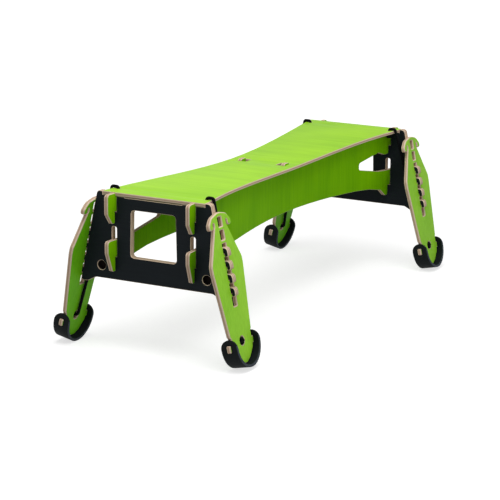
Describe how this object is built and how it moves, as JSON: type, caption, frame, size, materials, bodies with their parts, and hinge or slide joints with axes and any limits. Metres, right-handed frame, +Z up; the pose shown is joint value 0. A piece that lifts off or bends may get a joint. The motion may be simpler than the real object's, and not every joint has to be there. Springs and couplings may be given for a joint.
{
  "type": "mountain bike skinny",
  "caption": "Low balance board of slotted plywood for bike skills practice: a waisted deck on bowed beams and end frames, with splayed clip-on legs in rubber foot straps.",
  "frame": {"origin": "centre of the footprint, on the ground under the foot straps", "axes": "+X across the board, +Y along it, +Z up"},
  "size_m": [0.585, 1.337, 0.433],
  "materials": {
    "stained_green_ply": "translucent satin stain on plywood, bare layered edges",
    "stained_black_ply": "matte stain on plywood, bare layered edges",
    "strap_rubber": "matte moulded rubber",
    "cord_sheath": "braided sheath"
  },
  "bodies": {
    "board": {"deck": "stained_green_ply", "end_frame_front": "stained_black_ply", "end_frame_rear": "stained_black_ply", "beam_left": "stained_green_ply", "beam_right": "stained_green_ply", "shock_cord_front_left": "cord_sheath", "shock_cord_front_right": "cord_sheath", "shock_cord_rear_left": "cord_sheath", "shock_cord_rear_right": "cord_sheath", "upper_knot_front_left": "cord_sheath", "upper_knot_front_right": "cord_sheath", "upper_knot_rear_left": "cord_sheath", "upper_knot_rear_right": "cord_sheath"},
    "stand_front_left": {"leg_front_left": "stained_green_ply", "foot_strap_front_left": "strap_rubber", "lower_knot_front_left": "cord_sheath"},
    "stand_front_right": {"leg_front_right": "stained_green_ply", "foot_strap_front_right": "strap_rubber", "lower_knot_front_right": "cord_sheath"},
    "stand_rear_left": {"leg_rear_left": "stained_green_ply", "foot_strap_rear_left": "strap_rubber", "lower_knot_rear_left": "cord_sheath"},
    "stand_rear_right": {"leg_rear_right": "stained_green_ply", "foot_strap_rear_right": "strap_rubber", "lower_knot_rear_right": "cord_sheath"}
  },
  "joints": [
    {"name": "release_front_left", "type": "slide", "parent": "board", "child": "stand_front_left", "axis": [-0.213, 0, -0.977], "range_m": [0, 0.009], "stiffness_N_per_m": 1500, "springref_m": -0.05, "deforming": ["shock_cord_front_left"]},
    {"name": "release_front_right", "type": "slide", "parent": "board", "child": "stand_front_right", "axis": [0.213, 0, -0.977], "range_m": [0, 0.009], "stiffness_N_per_m": 1500, "springref_m": -0.05, "deforming": ["shock_cord_front_right"]},
    {"name": "release_rear_left", "type": "slide", "parent": "board", "child": "stand_rear_left", "axis": [-0.213, 0, -0.977], "range_m": [0, 0.009], "stiffness_N_per_m": 1500, "springref_m": -0.05, "deforming": ["shock_cord_rear_left"]},
    {"name": "release_rear_right", "type": "slide", "parent": "board", "child": "stand_rear_right", "axis": [0.213, 0, -0.977], "range_m": [0, 0.009], "stiffness_N_per_m": 1500, "springref_m": -0.05, "deforming": ["shock_cord_rear_right"]}
  ]
}
